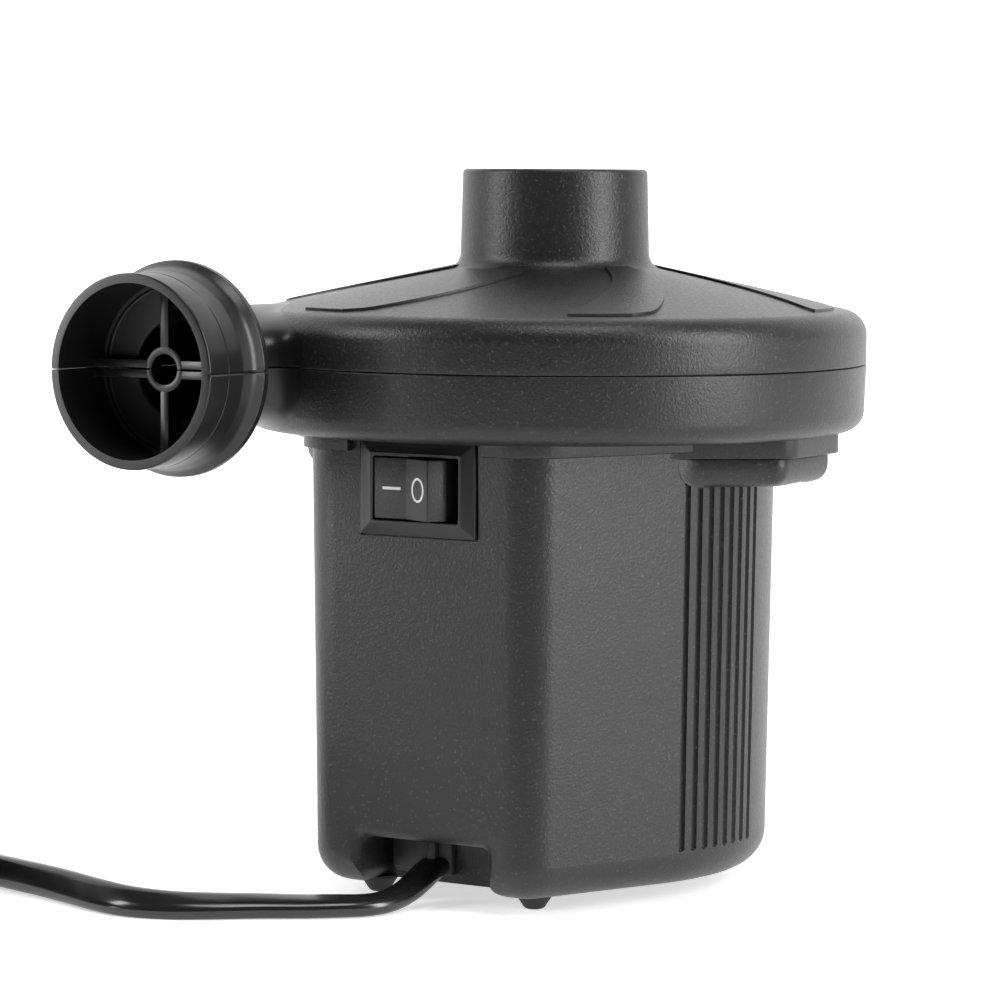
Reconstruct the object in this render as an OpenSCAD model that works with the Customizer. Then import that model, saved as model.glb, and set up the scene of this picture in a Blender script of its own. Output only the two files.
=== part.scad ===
// Electric air mattress pump for the mains, built as an assembly of separate pieces.
// The origin is on the motor axis at the table. +Z is up, the switch faces -Y,
// and the outlet points to -Y on the -X side.

/* [Housing] */
// Radius of the round part of the motor housing, at its top
body_r = 36.1; // [35.8:0.1:36.4]
// Distance from the motor axis to the flat front
body_front = 41.5; // [41.3:0.1:42]
// How much the housing narrows towards its foot, on each side
body_draft = 1; // [0.4:0.1:1.4]
// Wall thickness of the plastic shells
wall = 2.2; // [2:0.1:2.4]
// Radius of the rounded bottom edge
bottom_round = 5.5; // [5:0.5:6]
// Height of the feet under the bottom plate
foot_h = 2.5; // [2:0.5:3]

/* [Fan housing] */
// Outer radius of the round fan housing
disc_r = 50.8; // [50.4:0.1:51.4]
// Height of the parting line between the cover and the lower half
parting_z = 84.3; // [84.1:0.1:84.7]
// Height of the underside of the fan housing
disc_z = 73.5; // [73.5:0.1:73.7]
// Height of the cone where it meets the inlet collar
cone_top_z = 99.1; // [98.9:0.1:99.5]
// Slope of the cone, in degrees
cone_slope = 12; // [11.5:0.1:12.4]
// Depth of the skirt that hangs over the motor housing
skirt_h = 2; // [1.6:0.1:2.4]

/* [Inlet and outlet] */
// Height of the inlet rim over the table
inlet_z = 115.5; // [113.5:0.5:117.5]
// Outer radius of the inlet collar and of the outlet mouth
spigot_r = 15; // [14.8:0.1:15.2]
// Inner radius of the inlet collar and of the outlet mouth
spigot_bore = 13.5; // [13.3:0.1:13.6]
// Distance of the outlet's axis from the motor axis
outlet_x = 33.5; // [33.3:0.1:33.8]
// Distance from the motor axis to the outlet's mouth
outlet_y = 71; // [70:0.5:72]
// Outer radius of the outlet's neck
neck_r = 9.4; // [9.2:0.1:9.5]
// Inner radius of the outlet's neck
throat_r = 7.4; // [7.2:0.1:7.5]

/* [Switch] */
// Width of the switch bezel
bezel_w = 21; // [20.6:0.2:21.4]
// Height of the switch bezel
bezel_h = 14.8; // [14.4:0.2:15]
// Height of the switch's middle over the table
switch_z = 66; // [65.8:0.1:66]
// Angle between the rocker's two positions
rocker_swing = 24; // [20:1:24]

/* [Motor] */
// Radius of the motor can
can_r = 17.9; // [17.9:0.1:18]
// Diameter of the motor shaft
shaft_d = 3.175; // [3:0.025:3.2]
// Radius of the fan wheel
fan_r = 36; // [34:0.5:37]
// Number of fan blades
blades = 9; // [7:1:11]

/* [Cord] */
// Width of the flat cord
cord_w = 5.2; // [5:0.1:5.4]
// Thickness of the flat cord
cord_t = 3; // [2.8:0.1:3]

/* [Hidden] */

$fn = 96;

abs_black = [0.2, 0.2, 0.21];
gloss_black = [0.08, 0.08, 0.08];
steel = [0.75, 0.76, 0.78];
brass = [0.8, 0.65, 0.3];
copper = [0.75, 0.42, 0.2];
rubber = [0.12, 0.12, 0.12];
white_plastic = [0.92, 0.92, 0.9];

// Housing
plate_z = foot_h;
corner_r = 8;
side_angle = 25;
groove_depth = 0.8;
groove_first = -24;
groove_pitch = 4;
groove_count = 8;
groove_end_z = plate_z + bottom_round - 0.3;
rib_step = 0.5;
recess_w = 23.4;
recess_back = 30;
recess_top = 10.4;
recess_wall = 2;
foot_at = [[-14.4, -29.8], [14.4, -29.8], [-15, 20], [15, 20]];
foot_r = 2.9;
peg_r = 1.2;
peg_h = 1.8;
ear_x = 46.8;
ear_corner_r = 4;
ear_front_y = -3.9;
ear_back_y = 9.1;
ear_root_y = 19;
ear_root_x = 29.5;
ear_step = 1.7;
ear_split_z = disc_z - 3;
skirt_z = disc_z - skirt_h;
ear_bottom_z = 65.8;
ear_well_z = 61.5;
ear_seat_z = 67.5;
ear_screw_x = 41;
ear_screw_y = 2.6;
skirt_t = 1.4;
skirt_gap = 12.2;
skirt_play = 0.1;
cutout_w = 19;
cutout_h = 13;
cradle_z = 26.5;
cradle_h = 8;
cradle_r = 22.6;
damper_t = 2.4;
damper_play = 0.03;
ear_hole_r = 1.65;
post_r = 2.4;
post_hole_r = 1.1;
vent_count = 5;
vent_pitch = 4.4;
vent_w = 2;

// Strain relief: a neck in the wall between an outer and an inner flange
relief_x = 10;
relief_z = 5.1;
relief_w = 9;
relief_h = 4.4;
relief_flange = 1.5;

// Fan housing
cone_root_r = 18.7;
rim_r = 6.2;
floor_z = disc_z + wall;
channel_r = disc_r - wall;
tongue_t = 1;
tongue_h = 1.4;
boss_r = 3.4;
cover_boss_at = 45;
cover_boss_angles = [45, 90, 135, 315];
screw_r = 1.5;
screw_head_r = 2.8;
motor_hole_at = 12.5;

// Outlet
lip_length = 5;
flange_at = 11.8;
half_bar_t = 2.9;
bar_gap = 0.15;
guard_ring_r = 9.4;
guard_ring_bore = 8;
flange_r = 16.8;
flange_t = 1.4;
grille_at = 9;
grille_ring_r = 3.6;
grille_ring_bore = 2.4;
grille_depth = 2.6;
spoke_t = 1.7;
bore_step = 0.5;
sink = 1;
inlet_grille_z = 99.7;

// Motor, from the board at the bottom to the fan wheel at the top
can_bottom = 25.5;
nose_r = 6.5;
cap_bottom = 23;
shaft_r = shaft_d / 2;
bearing_r = 3;
bearing_play = 0.03;
fan_z = 77.7;
fan_bush_r = 3.5;
fan_hub_r = 5.6;
fan_hub_h = 12;
fan_plate_t = 1.4;
blade_t = 1.3;
blade_curve_r = 25;
blade_turn = 68;
fan_clearance = 1.5;
eye_r = 13;
core_r = 13.6;
core_low = 39.5;
core_high = 62.5;
winding_r = 12;
winding_h = 4;
pole_count = 5;
slot_at = 9;
slot_r = 2.8;
commutator_z = 28.5;
commutator_h = 6;
magnet_r = 14.2;
magnet_low = 37.5;
magnet_h = 27;
shaft_low = 21.5;
brush_room_r = 12.9;
brush_z = can_bottom + 3.5;
terminal_y = 10.5;
terminal_w = 4.8;
terminal_low = 17;
commutator_r = 4.6;

// Circuit board
board_z = 12.5;
board_t = 1.6;
board_x = 14;
board_front = -13;
board_back = 27;
post_y = [-5, 23];
post_x = 11;
lead_r = 0.9;

// Switch
bezel_rise = 1;
rim_y = -body_front - bezel_rise;
pivot_y = rim_y + 7.9;
opening_w = 15.5;
opening_h = 10;
frame_back = -26;
frame_inner_w = 17;
frame_inner_h = 10.4;
rocker_h = 9.5;
pin_r = 1.3;
rocker_tilt = -rocker_swing / 2;
arm_y = -29;
arm_tilt = 5;

// Cord. The free stretch leaves the strain relief, falls to the table and runs to the coil.
cord_sides = 10;
coil_at = [-97, -84];
coil_inner = 23.2;
coil_outer = 32.8;
coil_h = 10.6;
plug_at = [-106, -108];
run_points = [
    [-2.8, -31.5, 5.4], [-2.7, -34, 4.8], [-2.6, -37, 3.7], [-2.6, -41, 2.5], [-3, -45.2, 1.8],
    [-4.4, -48.8, 1.6], [-7.6, -52.4, 1.7], [-12.4, -55.8, 1.7], [-17.6, -59.3, 1.8],
    [-23.4, -63.7, 1.9], [-29.2, -67.2, 2], [-35.5, -68.8, 2.2], [-42, -67.9, 2.4],
    [-48.8, -65.9, 2.6], [-55.5, -63.9, 2.7], [-62.2, -61.9, 2.7], [-68.6, -60, 2.7], [-74.6, -57.4, 2.7],
    [-80.2, -54.1, 2.7], [-86, -51.3, 2.7]];
run_tilts = [0, 0, 0, 0, 4, 8, 12, 16, 20, 26, 34, 44, 56, 68, 78, 86, 90, 90, 90, 90];
tail_points = [
    [-121.2, -70, 13.2], [-125, -77.4, 13.2], [-127, -85.5, 13.2], [-126, -92.5, 13.3],
    [-123.3, -99, 13.6], [-118.5, -104, 14], [-112.5, -107.2, 14.6], [-106, -108, 15.1]];
tail_tilts = [90, 90, 90, 84, 66, 44, 22, 0];

// ---- shared helpers ----

// A closed solid through rings of points that all have the same count
module loft(rings) {
    count = len(rings[0]);
    last = len(rings) - 1;
    points = [for (ring = rings) each ring];
    walls = [for (i = [0:last - 1]) for (j = [0:count - 1])
        let (a = i * count + j, b = i * count + (j + 1) % count)
        each [[a, b, b + count], [a, b + count, a + count]]];
    low_cap = [[for (j = [count - 1:-1:0]) j]];
    high_cap = [[for (j = [0:count - 1]) last * count + j]];
    faces = concat(low_cap, walls, high_cap);
    turned = [for (f = faces) [for (k = [len(f) - 1:-1:0]) f[k]]];
    polyhedron(points = points, faces = turned, convexity = 6);
}

function unit(v) = v / norm(v);
function tangent(path, i) = unit(path[min(i + 1, len(path) - 1)] - path[max(i - 1, 0)]);

// One ring of a flat cord: an oval across the path, turned by tilt about the path
function cord_ring(p, along, tilt, w, t) =
    let (side = unit([along.y, -along.x, 0]), up = cross(side, along))
    [for (j = [0:cord_sides - 1])
        let (a = j * 360 / cord_sides, x = w / 2 * cos(a), y = t / 2 * sin(a))
        p + side * (x * cos(tilt) - y * sin(tilt)) + up * (x * sin(tilt) + y * cos(tilt))];

module cord(points, tilts, w, t) {
    loft([for (i = [0:len(points) - 1]) cord_ring(points[i], tangent(points, i), tilts[i], w, t)]);
}

// A round lead through a few points, 8 sided
module lead(points, r) {
    loft([for (i = [0:len(points) - 1])
        let (along = tangent(points, i), side = unit(cross(along, [0.3, 0.2, 0.93])), up = cross(side, along))
        [for (a = [0:45:315]) points[i] + side * r * cos(a) + up * r * sin(a)]]);
}

// Plan of the motor housing moved inwards by inset, at height z. Grooves are cut where cut is above 0.
function is_groove(n) = let (m = n > 90 ? 180 - n : n, k = (m - groove_first) / groove_pitch)
    k >= 0 && k < groove_count && k == floor(k) ? 1 : 0;
function inner_corner(inset) = max(corner_r - inset, 0.6);
function corner_y(inset) = inner_corner(inset) - (body_front - inset);
function corner_x(inset) = (body_r - inset - inner_corner(inset) + corner_y(inset) * sin(side_angle))
    / cos(side_angle);
fine_angles = concat([for (n = [-25:1:5]) n], [for (n = [12:8:168]) n], [for (n = [175:1:205]) n]);
plain_angles = [for (n = [-25:5:205]) n];
function plan(inset, z, angles, cut) =
    let (r = body_r - inset, rc = inner_corner(inset), cx = corner_x(inset), cy = corner_y(inset))
    concat(
        [for (n = angles) (r - cut * groove_depth * is_groove(n)) * [cos(n), sin(n), 0] + [0, 0, z]],
        [for (n = [214:8:270]) [-cx + rc * cos(n), cy + rc * sin(n), z]],
        [for (n = [270:8:326]) [cx + rc * cos(n), cy + rc * sin(n), z]]);
function draft_at(z) = body_draft * (disc_z - z) / (disc_z - plate_z);

// The housing's outside. A positive inset gives the room inside it.
module body_form(inset, low, high, angles, cut) {
    edge = bottom_round - inset;
    loft(concat(
        [for (a = [0:18:90])
            plan(inset + draft_at(low) + edge * (1 - sin(a)), low + edge * (1 - cos(a)), angles, 0)],
        [for (z = [groove_end_z + 0.4, groove_end_z + 1.6])
            plan(inset + draft_at(z), z, angles, z > groove_end_z + 1 ? cut : 0)],
        [plan(inset, high, angles, cut)]));
}

// A straight block with the housing's plan, moved inwards by inset
module straight(inset, low, high) {
    loft([plan(inset, low, plain_angles, 0), plan(inset, high, plain_angles, 0)]);
}

// Plan of one screw ear on the +X side, drawn back by inset
function ear_plan(inset, z) =
    let (r = ear_corner_r - min(inset, ear_corner_r - 1), x = ear_x - inset - r)
    concat(
        [[ear_root_x, -ear_root_y + inset, z]],
        [for (n = [-60:15:0]) [x + r * cos(n), ear_front_y + inset - min(inset, 3) + r * sin(n), z]],
        [for (n = [0:15:90]) [x + r * cos(n), ear_back_y - inset + min(inset, 3) + r * sin(n), z]],
        [[ear_root_x - 2, ear_root_y + 2.6 - inset, z]]);

module both_sides() {
    children();
    mirror([1, 0, 0]) children();
}

// Height of the cone's outside at radius r
function cone_z(r) = cone_top_z - (r - cone_root_r) * tan(cone_slope);

// Half section of the fan housing's outside, from the axis to the rim
rim_x = disc_r - rim_r;
rim_z = cone_z(rim_x) - rim_r / cos(cone_slope) + rim_r * 0.02;
low_edge = 3;
cover_section = concat(
    [[0, parting_z], [disc_r, parting_z]],
    [for (a = [0:13:78]) [rim_x + rim_r * cos(a), rim_z + rim_r * sin(a)]],
    [[cone_root_r, cone_top_z], [0, cone_top_z]]);
volute_section = concat(
    [[0, disc_z], [disc_r - low_edge, disc_z]],
    [for (a = [285:15:360]) [disc_r - low_edge + low_edge * cos(a), disc_z + low_edge + low_edge * sin(a)]],
    [[disc_r, parting_z], [0, parting_z]]);
cover_room = concat(
    [[0, parting_z - 1], [channel_r, parting_z - 1]],
    [for (a = [0:13:78]) [rim_x + (rim_r - wall) * cos(a), rim_z + (rim_r - wall) * sin(a)]],
    [[spigot_bore, cone_z(spigot_bore) - wall / cos(cone_slope)], [0, cone_z(spigot_bore) - wall]]);

// Everything of the outlet that is solid, before it is bored. Drawn along its own axis from the mouth.
module outlet_outside() {
    translate([-outlet_x, -outlet_y, parting_z]) rotate([-90, 0, 0]) {
        cylinder(r = spigot_r, h = lip_length);
        rotate_extrude() polygon([[0, lip_length], [spigot_r, lip_length], [spigot_r + 0.2, 8],
            [spigot_r + 0.7, 10.5], [spigot_r + 1.2, flange_at], [flange_r, flange_at],
            [flange_r, flange_at + flange_t], [0, flange_at + flange_t]]);
        cylinder(r = neck_r, h = outlet_y - 30);
    }
}

module outlet_inside() {
    translate([-outlet_x, -outlet_y, parting_z]) rotate([-90, 0, 0]) {
        translate([0, 0, -1]) cylinder(r = spigot_bore, h = grille_at + 1);
        translate([0, 0, -1]) cylinder(r = spigot_bore - bore_step, h = flange_at + 0.7);
        translate([0, 0, -1]) cylinder(r = throat_r, h = outlet_y - 26);
    }
}

// The guard in the mouth: a ring on a cross. The bar that lies along the parting line is split.
module outlet_guard() {
    reach = spigot_bore + 0.5;
    translate([-outlet_x, -outlet_y + grille_at, parting_z]) rotate([-90, 0, 0]) difference() {
        union() {
            cylinder(r = grille_ring_r, h = grille_depth);
            translate([-spoke_t / 2, -reach, 0]) cube([spoke_t, 2 * reach, grille_depth]);
            translate([-reach, -half_bar_t / 2, 0]) cube([2 * reach, half_bar_t, grille_depth]);
        }
        translate([0, 0, -1]) cylinder(r = grille_ring_bore, h = grille_depth + 2);
    }
}

module above_parting(gap) {
    translate([-100, -100, parting_z + gap]) cube([200, 200, 60]);
}

module below_parting(gap) {
    translate([-100, -100, parting_z - gap - 60]) cube([200, 200, 60]);
}

module at_cover_bosses() {
    for (a = cover_boss_angles) rotate(a) translate([cover_boss_at, 0, 0]) children();
}

// ---- shells ----

module top_cover() {
    color(abs_black) difference() {
        union() {
            difference() {
                union() {
                    rotate_extrude() polygon(cover_section);
                    translate([0, 0, cone_top_z - 2])
                        cylinder(r = spigot_r, h = inlet_z - 0.5 - cone_top_z + 2);
                    translate([0, 0, inlet_z - 0.5])
                        cylinder(r1 = spigot_r, r2 = spigot_r - 0.5, h = 0.5);
                    translate([0, 0, cone_top_z - 0.6])
                        cylinder(r1 = cone_root_r + 1.8, r2 = spigot_r, h = 2.8);
                    intersection() {
                        outlet_outside();
                        above_parting(0);
                    }
                }
                rotate_extrude() polygon(cover_room);
                translate([0, 0, parting_z]) cylinder(r = spigot_bore - bore_step, h = 60);
                translate([0, 0, inlet_grille_z + grille_depth]) cylinder(r = spigot_bore, h = 60);
                outlet_inside();
            }
            intersection() {
                outlet_guard();
                above_parting(bar_gap);
            }
            intersection() {
                at_cover_bosses() translate([0, 0, parting_z]) cylinder(r = boss_r, h = 12);
                rotate_extrude() polygon(cover_section);
            }
            inlet_guard();
        }
        at_cover_bosses() translate([0, 0, parting_z - 1]) cylinder(r = screw_r, h = 6.2);
        difference() {
            translate([0, 0, parting_z - 1]) cylinder(r = channel_r + tongue_t + 0.1, h = tongue_h + 1.1);
            translate([0, 0, parting_z - 2]) cylinder(r = channel_r - 0.4, h = tongue_h + 3);
            at_cover_bosses() translate([0, 0, parting_z - 1]) cylinder(r = boss_r, h = 12);
        }
    }
}

module inlet_guard() {
    reach = spigot_bore + 0.5;
    translate([0, 0, inlet_grille_z]) difference() {
        union() {
            cylinder(r = grille_ring_r, h = grille_depth);
            translate([-spoke_t / 2, -reach, 0]) cube([spoke_t, 2 * reach, grille_depth]);
            translate([-reach, -spoke_t / 2, 0]) cube([2 * reach, spoke_t, grille_depth]);
            difference() {
                cylinder(r = guard_ring_r, h = grille_depth);
                translate([0, 0, -1]) cylinder(r = guard_ring_bore, h = grille_depth + 2);
            }
        }
        translate([0, 0, -1]) cylinder(r = grille_ring_bore, h = grille_depth + 2);
    }
}

module lower_volute() {
    color(abs_black) difference() {
        union() {
            difference() {
                union() {
                    rotate_extrude() polygon(volute_section);
                    intersection() {
                        outlet_outside();
                        below_parting(0);
                    }
                    difference() {
                        union() {
                            straight(-skirt_t, skirt_z, disc_z + sink);
                            both_sides() loft([ear_plan(0, ear_split_z), ear_plan(0, disc_z + sink)]);
                        }
                        straight(-skirt_play, ear_split_z - 1, disc_z + sink / 2);
                        translate([-skirt_gap, -60, 0]) cube([2 * skirt_gap, 30, disc_z + sink / 2]);
                    }
                }
                translate([0, 0, floor_z]) cylinder(r = channel_r, h = 20);
                outlet_inside();
            }
            intersection() {
                outlet_guard();
                below_parting(bar_gap);
            }
            at_cover_bosses() translate([0, 0, disc_z + 1]) cylinder(r = boss_r, h = parting_z - disc_z - 1);
            both_sides() translate([ear_screw_x, ear_screw_y, disc_z + 1]) cylinder(r = boss_r, h = 5);
            difference() {
                translate([0, 0, parting_z - 1]) cylinder(r = channel_r + tongue_t, h = tongue_h + 1);
                translate([0, 0, parting_z - 2]) cylinder(r = channel_r, h = tongue_h + 3);
                outlet_inside();
                translate([-outlet_x, -outlet_y, parting_z]) rotate([-90, 0, 0])
                    cylinder(r = neck_r, h = 60);
                at_cover_bosses() cylinder(r = boss_r + 0.2, h = 100);
            }
        }
        at_cover_bosses() cylinder(r = screw_r, h = 100);
        at_cover_bosses() translate([0, 0, disc_z - 1]) cylinder(r = screw_head_r, h = 3.4);
        both_sides() translate([ear_screw_x, ear_screw_y, ear_well_z]) cylinder(r = screw_r, h = 17);
        translate([0, 0, disc_z - 1]) cylinder(r = nose_r + 0.1, h = 10);
        for (y = [-motor_hole_at, motor_hole_at]) translate([0, y, disc_z - 1]) {
            cylinder(r = screw_r, h = 10);
            translate([0, 0, 2.2]) cylinder(r = screw_head_r, h = 5);
        }
    }
}

module motor_housing() {
    color(abs_black) {
        difference() {
            union() {
                body_form(0, plate_z, disc_z + 1, fine_angles, 1);
                both_sides() loft([
                    ear_plan(ear_step + 3, ear_bottom_z), ear_plan(ear_step + 1, ear_bottom_z + 0.7),
                    ear_plan(ear_step + 0.2, ear_bottom_z + 2), ear_plan(ear_step, ear_bottom_z + 3),
                    ear_plan(ear_step, ear_split_z)]);
            }
            difference() {
                body_form(wall, plate_z + wall, disc_z + 1, plain_angles, 0);
                translate([-recess_w / 2 - recess_wall, -60, 0])
                    cube([recess_w + 2 * recess_wall, 60 - recess_back + recess_wall,
                        recess_top + recess_wall]);
                cradle();
                for (x = [-post_x, post_x]) for (y = post_y)
                    translate([x, y, 0]) cylinder(r = post_r, h = board_z);
            }
            translate([-recess_w / 2, -60, 0]) cube([recess_w, 60 - recess_back, recess_top]);
            translate([-cutout_w / 2, -60, switch_z - cutout_h / 2]) cube([cutout_w, 30, cutout_h]);
            both_sides() translate([ear_screw_x, ear_screw_y, ear_well_z]) cylinder(r = ear_hole_r, h = 10);
            both_sides() translate([ear_screw_x, ear_screw_y, ear_well_z])
                cylinder(r = screw_head_r, h = ear_seat_z - ear_well_z);
            for (x = [-post_x, post_x]) for (y = post_y)
                translate([x, y, board_z - 4]) cylinder(r = post_hole_r, h = 5);
            translate([-relief_x, -recess_back - 1, relief_z]) cube([relief_w, recess_wall + 2, relief_h]);
            for (i = [0:vent_count - 1])
                translate([(i - (vent_count - 1) / 2) * vent_pitch - vent_w / 2, 14, 0]) cube([vent_w, 9, 8]);
            for (p = foot_at) translate([p.x, p.y, plate_z - 1]) cylinder(r = peg_r, h = peg_h + 1.1);
            translate([-60, -60, disc_z]) cube([120, 120, 5]);
        }
    }
}

// Four ribs that carry a ring around the motor's lower end
module cradle() {
    translate([0, 0, cradle_z]) difference() {
        union() {
            cylinder(r = cradle_r, h = cradle_h);
            for (a = [45:90:315]) rotate(a) translate([0, -1, rib_step])
                cube([40, 2, cradle_h - 2 * rib_step]);
        }
        translate([0, 0, -1]) cylinder(r = can_r + damper_t + damper_play, h = cradle_h + 2);
    }
}

module feet() {
    color(rubber) for (p = foot_at) translate([p.x, p.y, 0]) {
        cylinder(r1 = foot_r - 1, r2 = foot_r, h = plate_z);
        translate([0, 0, plate_z]) cylinder(r = peg_r, h = peg_h);
    }
}

// A pan head screw that points up, with its head's seat at height 0
module screw(length, head_h) {
    cylinder(r = screw_r, h = length);
    translate([0, 0, -head_h]) difference() {
        cylinder(r = screw_head_r - 0.1, h = head_h);
        for (a = [0, 90]) rotate(a) translate([-1.5, -0.3, -1]) cube([3, 0.6, 1.8]);
    }
}

module ear_screws() {
    color(steel) both_sides() translate([ear_screw_x, ear_screw_y, ear_seat_z]) screw(10, 1.5);
}

module cover_screws() {
    color(steel) at_cover_bosses() translate([0, 0, disc_z + 2.4]) screw(12, 1.8);
}

// ---- fan ----

module fan_wheel() {
    top_at_rim = cone_z(fan_r) - wall - fan_clearance;
    top_at_eye = cone_z(eye_r) - wall - fan_clearance - 1;
    color(white_plastic) difference() {
        union() {
            translate([0, 0, fan_z]) cylinder(r = fan_r, h = fan_plate_t);
            translate([0, 0, fan_z]) cylinder(r = fan_hub_r, h = fan_hub_h);
            intersection() {
                for (k = [0:blades - 1]) rotate(k * 360 / blades) translate([12, -21, fan_z + 1])
                    rotate(30) rotate_extrude(angle = blade_turn, $fn = 64)
                        translate([blade_curve_r, 0]) square([blade_t, 18]);
                rotate_extrude() polygon([[eye_r, fan_z + 1], [fan_r, fan_z + 1], [fan_r, top_at_rim],
                    [eye_r, top_at_eye]]);
            }
        }
        translate([0, 0, fan_z - 1]) cylinder(r = fan_bush_r, h = fan_hub_h + 2);
    }
}

module fan_bush() {
    color(brass) translate([0, 0, fan_z]) difference() {
        cylinder(r = fan_bush_r, h = fan_hub_h);
        translate([0, 0, -1]) cylinder(r = shaft_r, h = fan_hub_h + 2);
    }
}

// ---- motor ----

module motor_shaft() {
    color(steel) translate([0, 0, shaft_low]) cylinder(r = shaft_r, h = fan_z + fan_hub_h - shaft_low);
}

module armature_core() {
    color([0.5, 0.5, 0.52]) translate([0, 0, core_low]) difference() {
        cylinder(r = core_r, h = core_high - core_low);
        translate([0, 0, -1]) cylinder(r = shaft_r, h = 40);
        for (k = [0:pole_count - 1]) rotate((k + 0.5) * 360 / pole_count) translate([slot_at, 0, -1]) {
            cylinder(r = slot_r, h = 40, $fn = 48);
            translate([0, -0.8, 0]) cube([8, 1.6, 40]);
        }
    }
}

module armature_windings() {
    color(copper) {
        for (k = [0:pole_count - 1]) rotate((k + 0.5) * 360 / pole_count) translate([slot_at, 0, core_low])
            cylinder(r = slot_r - 0.2, h = core_high - core_low, $fn = 48);
        for (z = [core_low - winding_h, core_high]) translate([0, 0, z]) difference() {
            cylinder(r = winding_r, h = winding_h);
            translate([0, 0, -1]) cylinder(r = 4, h = winding_h + 2);
        }
    }
}

module commutator() {
    color(copper) translate([0, 0, commutator_z]) difference() {
        union() {
            cylinder(r = commutator_r, h = commutator_h);
            translate([0, 0, commutator_h]) cylinder(r = commutator_r - 1, h = 1);
        }
        translate([0, 0, -1]) cylinder(r = shaft_r, h = commutator_h + 4);
        for (k = [0:pole_count - 1]) rotate(k * 360 / pole_count)
            translate([commutator_r - 0.5, -0.2, -1]) cube([1, 0.4, commutator_h]);
    }
}

module motor_can() {
    color(steel) difference() {
        union() {
            translate([0, 0, can_bottom]) cylinder(r = can_r, h = disc_z - can_bottom);
            translate([0, 0, disc_z - 1]) cylinder(r = nose_r, h = 3);
        }
        translate([0, 0, can_bottom - 1]) cylinder(r = can_r - 1, h = disc_z - can_bottom);
        translate([0, 0, disc_z - 3]) cylinder(r = bearing_r, h = 10);
        for (y = [-motor_hole_at, motor_hole_at]) translate([0, y, disc_z - 3]) cylinder(r = screw_r, h = 5);
    }
}

module magnets() {
    color([0.3, 0.3, 0.32]) for (a = [25, 205]) rotate(a) translate([0, 0, magnet_low])
        rotate_extrude(angle = 130) translate([magnet_r, 0]) square([can_r - 1 - magnet_r, magnet_h]);
}

module bearing(z, h) {
    translate([0, 0, z]) difference() {
        cylinder(r = bearing_r, h = h);
        translate([0, 0, -1]) cylinder(r = shaft_r + bearing_play, h = h + 2);
    }
}

module front_bearing() {
    color(brass) bearing(disc_z - 1, 3);
}

module rear_bearing() {
    color(brass) bearing(cap_bottom - 1, 3.5);
}

module motor_end_cap() {
    color(gloss_black) difference() {
        union() {
            translate([0, 0, cap_bottom]) cylinder(r = can_r, h = can_bottom - cap_bottom);
            translate([0, 0, can_bottom]) cylinder(r = can_r - 1, h = 9);
        }
        difference() {
            translate([0, 0, can_bottom]) cylinder(r = 13, h = 10);
            for (s = [-1, 1]) translate([s * 9.6 - 3.6, -2.6, can_bottom - 1]) cube([7.2, 5.2, 4.5]);
        }
        translate([0, 0, cap_bottom - 1]) cylinder(r = bearing_r, h = 10);
        for (y = [-terminal_y, terminal_y])
            translate([-terminal_w / 2, y - 0.4, cap_bottom - 1]) cube([terminal_w, 0.8, 5]);
    }
}

module brushes() {
    color([0.15, 0.15, 0.16]) for (s = [0, 180]) rotate(s)
        translate([commutator_r + 0.06, -2, brush_z]) cube([5, 4, 3.4]);
}

module brush_springs() {
    color(brass) for (s = [0, 180]) rotate(s)
        translate([commutator_r + 5.06, -1.2, brush_z]) cube([brush_room_r - commutator_r - 5.06, 2.4, 3.2]);
}

module motor_terminals() {
    color(brass) for (y = [-terminal_y, terminal_y])
        translate([-terminal_w / 2, y - 0.4, terminal_low]) cube([terminal_w, 0.8, 9]);
}

module motor_screws() {
    color(steel) for (y = [-motor_hole_at, motor_hole_at]) translate([0, y, disc_z - 1]) {
        cylinder(r = screw_r, h = 2.2);
        translate([0, 0, 2.2]) difference() {
            cylinder(r = screw_head_r - 0.1, h = 1.6);
            for (a = [0, 90]) rotate(a) translate([-1.5, -0.3, 0.9]) cube([3, 0.6, 2]);
        }
    }
}

module motor_damper() {
    color(rubber) translate([0, 0, cradle_z]) difference() {
        cylinder(r = can_r + damper_t, h = cradle_h);
        translate([0, 0, -1]) cylinder(r = can_r, h = cradle_h + 2);
    }
}

// ---- electrics ----

module circuit_board() {
    color([0.1, 0.4, 0.2]) translate([0, 0, board_z]) difference() {
        translate([-board_x, board_front, 0]) cube([2 * board_x, board_back - board_front, board_t]);
        for (x = [-post_x, post_x]) for (y = post_y) translate([x, y, -1]) cylinder(r = 1.3, h = 4);
    }
}

module board_screws() {
    color(steel) for (x = [-post_x, post_x]) for (y = post_y) translate([x, y, board_z - 3]) {
        cylinder(r = post_hole_r, h = 3 + board_t);
        translate([0, 0, 3 + board_t]) cylinder(r = 2, h = 1.2);
    }
}

module rectifier_diodes() {
    color([0.1, 0.1, 0.1]) for (x = [-6.5, -2.5, 2.5, 6.5]) translate([x, 0.5, board_z + board_t + 1.3])
        rotate([-90, 0, 0]) cylinder(r = 1.3, h = 5.2);
}

module suppressor_capacitor() {
    color([0.85, 0.7, 0.1]) translate([-6.5, 20.5, board_z + board_t]) cube([13, 5.5, 11]);
}

module thermal_fuse() {
    color(white_plastic) translate([-5, 16.5, board_z + board_t + 1.8])
        rotate([0, 90, 0]) cylinder(r = 1.8, h = 10);
}

module motor_leads() {
    color("firebrick") for (y = [-terminal_y, terminal_y]) translate([0, y, board_z + board_t])
        cylinder(r = 0.4, h = terminal_low - board_z - board_t);
}

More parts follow.
